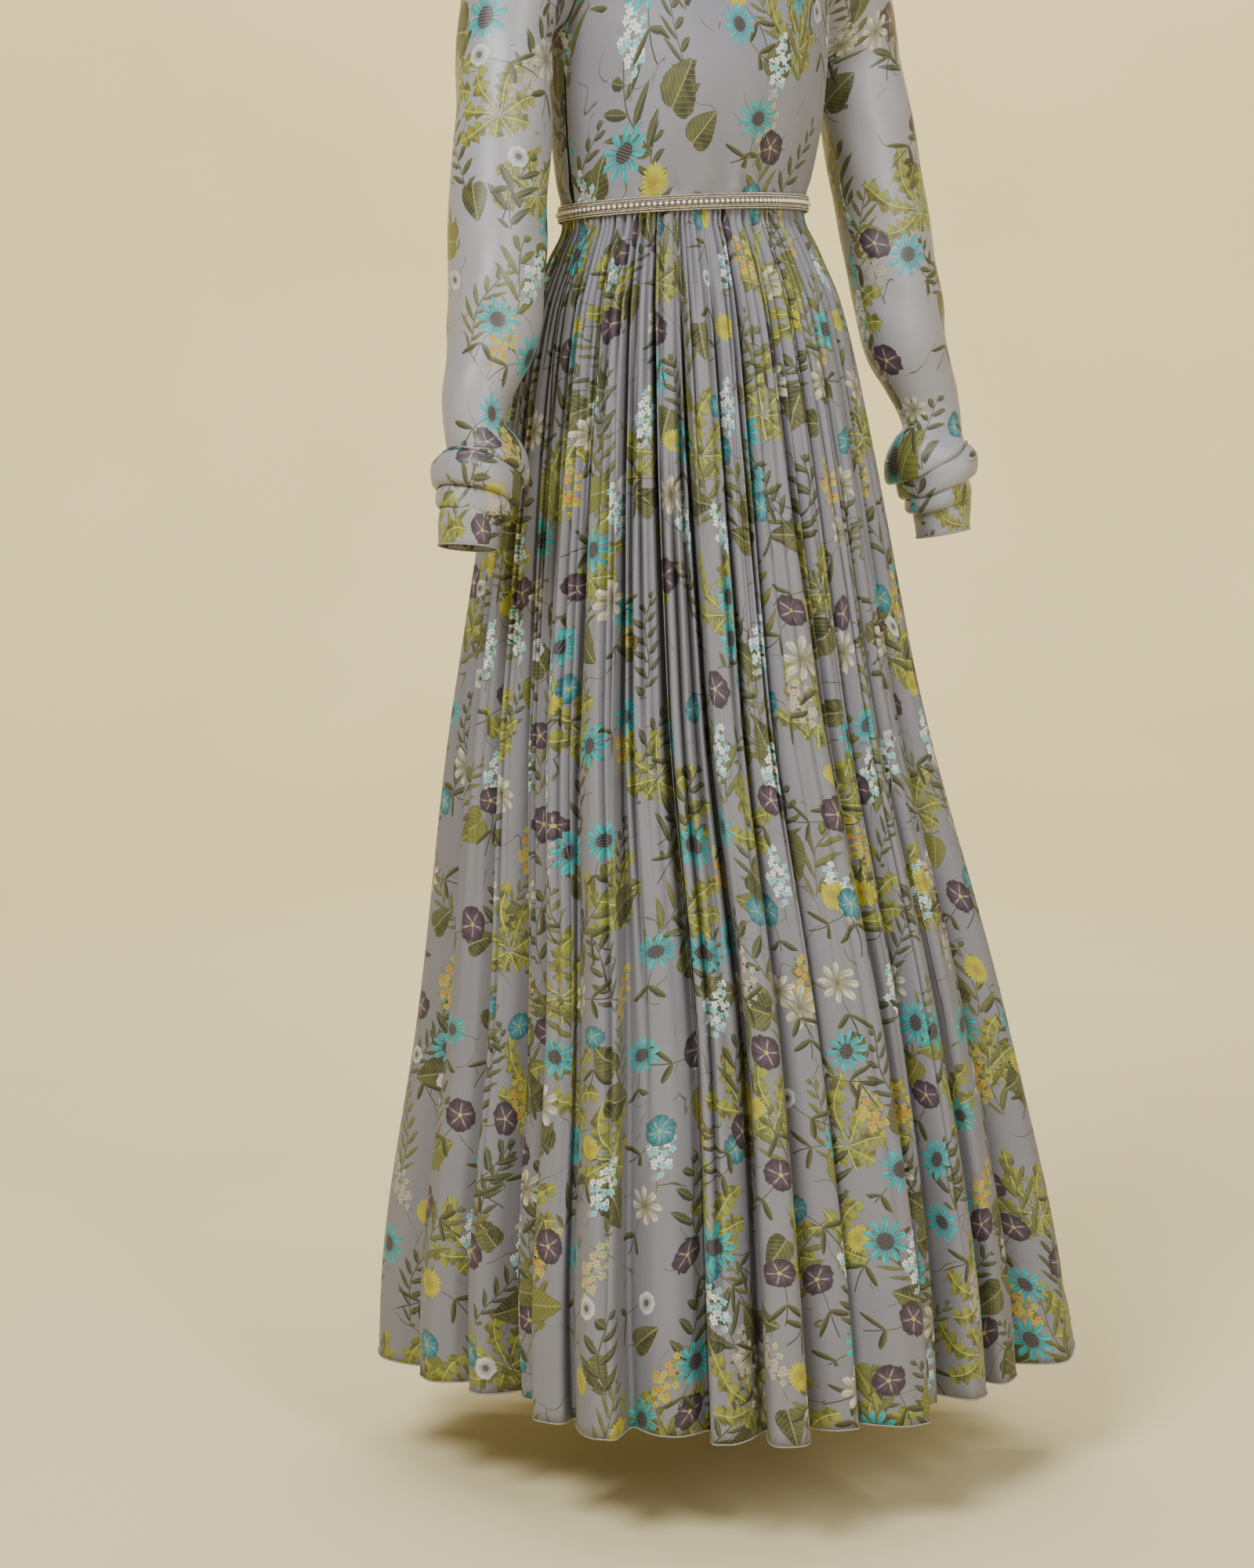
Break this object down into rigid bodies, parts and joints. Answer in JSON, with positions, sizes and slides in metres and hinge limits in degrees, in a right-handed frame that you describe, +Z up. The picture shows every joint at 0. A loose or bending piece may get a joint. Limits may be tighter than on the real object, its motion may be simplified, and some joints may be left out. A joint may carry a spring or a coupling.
{
  "type": "gathered floor-length kurta with long sleeves",
  "caption": "Floor-length gathered kurta with a fitted bodice, long sleeves bunched at the wrists, a beaded belt at a raised waist and a full skirt, in its worn hollow form.",
  "frame": {"origin": "midway between the two shoulder seams, where the wearer carries the garment", "axes": "+Z up along the garment, -Y towards its front, +X to the wearer's left"},
  "size_m": [0.6197, 0.6139, 1.4005],
  "materials": {
    "printed_georgette": "cool grey-lavender georgette with an all-over flower and leaf print in olive, lime, turquoise, plum, yellow and cream; soft satin-like sheen on the sleeves",
    "beaded_belt": "champagne bead embroidery on net, edged with gold cord lines",
    "pearl": "cream pearl beads in one row round the belt"
  },
  "bodies": {
    "root": {"bodice_front": "printed_georgette", "bodice_back_left": "printed_georgette", "bodice_back_right": "printed_georgette", "sleeve_left": "printed_georgette", "sleeve_right": "printed_georgette", "waist_band": "beaded_belt", "skirt_front": "printed_georgette", "skirt_left": "printed_georgette", "skirt_back": "printed_georgette", "skirt_right": "printed_georgette"}
  },
  "joints": []
}
